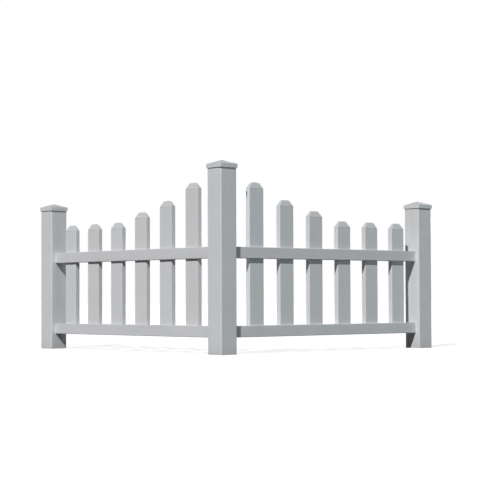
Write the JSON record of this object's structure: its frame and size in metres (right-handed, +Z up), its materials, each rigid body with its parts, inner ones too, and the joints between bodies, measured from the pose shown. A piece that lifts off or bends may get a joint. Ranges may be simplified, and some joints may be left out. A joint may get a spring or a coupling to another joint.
{
  "type": "corner picket fence",
  "caption": "Two hollow white vinyl picket panels meeting at a right angle in a tall capped corner post, with lower end posts and picket tops that sweep up to the corner.",
  "frame": {"origin": "centre of the corner post's foot, at ground level", "axes": "+Z up, +X along the right panel towards its end post, +Y along the left panel towards its end post"},
  "size_m": [1.5237, 1.5237, 0.9447],
  "materials": {
    "white_vinyl": "satin white extruded vinyl",
    "moulded_white_vinyl": "satin white moulded vinyl, slightly smoother than the extrusions"
  },
  "bodies": {
    "root": {"corner_post": "white_vinyl", "corner_post_cap": "moulded_white_vinyl", "right_end_post": "white_vinyl", "right_end_post_cap": "moulded_white_vinyl", "right_top_rail": "white_vinyl", "right_bottom_rail": "white_vinyl", "right_picket_1": "white_vinyl", "right_picket_2": "white_vinyl", "right_picket_3": "white_vinyl", "right_picket_4": "white_vinyl", "right_picket_5": "white_vinyl", "right_picket_6": "white_vinyl", "right_picket_cap_1": "moulded_white_vinyl", "right_picket_cap_2": "moulded_white_vinyl", "right_picket_cap_3": "moulded_white_vinyl", "right_picket_cap_4": "moulded_white_vinyl", "right_picket_cap_5": "moulded_white_vinyl", "right_picket_cap_6": "moulded_white_vinyl", "left_end_post": "white_vinyl", "left_end_post_cap": "moulded_white_vinyl", "left_top_rail": "white_vinyl", "left_bottom_rail": "white_vinyl", "left_picket_1": "white_vinyl", "left_picket_2": "white_vinyl", "left_picket_3": "white_vinyl", "left_picket_4": "white_vinyl", "left_picket_5": "white_vinyl", "left_picket_6": "white_vinyl", "left_picket_cap_1": "moulded_white_vinyl", "left_picket_cap_2": "moulded_white_vinyl", "left_picket_cap_3": "moulded_white_vinyl", "left_picket_cap_4": "moulded_white_vinyl", "left_picket_cap_5": "moulded_white_vinyl", "left_picket_cap_6": "moulded_white_vinyl"}
  },
  "joints": []
}
